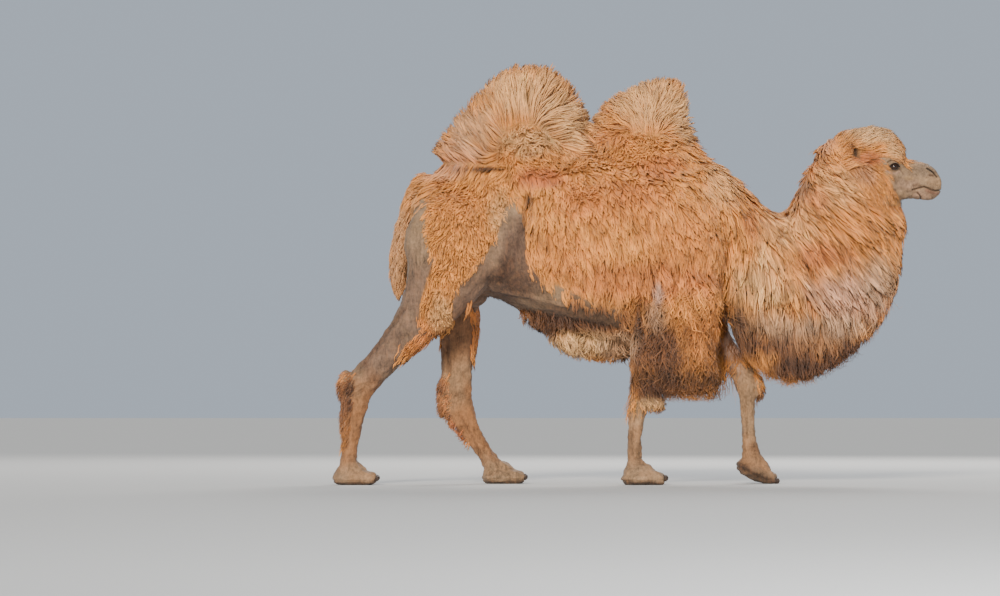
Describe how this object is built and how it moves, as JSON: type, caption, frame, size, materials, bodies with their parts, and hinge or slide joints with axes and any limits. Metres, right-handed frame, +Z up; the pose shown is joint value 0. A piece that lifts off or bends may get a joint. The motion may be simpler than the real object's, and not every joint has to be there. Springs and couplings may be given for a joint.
{
  "type": "bactrian camel",
  "caption": "Still, life-size adult bactrian camel in moult, walking, with woolly humps, beard and leg fringes and bare lower legs.",
  "frame": {"origin": "on the floor under the middle of the animal's bounding box", "axes": "+X from tail to head, the way it walks; +Y to the animal's left; +Z up"},
  "size_m": [3.102, 0.7774, 2.1247],
  "materials": {
    "wool": "matte sheep-like wool, orange tan with cream and brown ends",
    "hide": "bare grey-brown skin under short dusty hair",
    "eye": "wet and dark brown",
    "nail": "dull dark horn"
  },
  "bodies": {
    "root": {"head": "wool", "neck_upper": "wool", "neck_lower": "wool", "beard": "wool", "trunk": "wool", "hump_rear": "wool", "hump_front": "wool", "tail": "wool", "ear_left": "wool", "ear_right": "wool", "hind_right_upper": "wool", "hind_left_upper": "wool", "fore_right_upper": "wool", "fore_left_upper": "wool", "lower_jaw": "hide", "udder": "hide", "hind_right_lower": "hide", "hind_left_lower": "hide", "fore_right_lower": "hide", "fore_left_lower": "hide", "foot_hind_right": "hide", "foot_hind_left": "hide", "foot_fore_right": "hide", "foot_fore_left": "hide", "eye_left": "eye", "eye_right": "eye", "nail_hind_right_outer": "nail", "nail_hind_right_inner": "nail", "nail_hind_left_outer": "nail", "nail_hind_left_inner": "nail", "nail_fore_right_outer": "nail", "nail_fore_right_inner": "nail", "nail_fore_left_outer": "nail", "nail_fore_left_inner": "nail"}
  },
  "joints": []
}
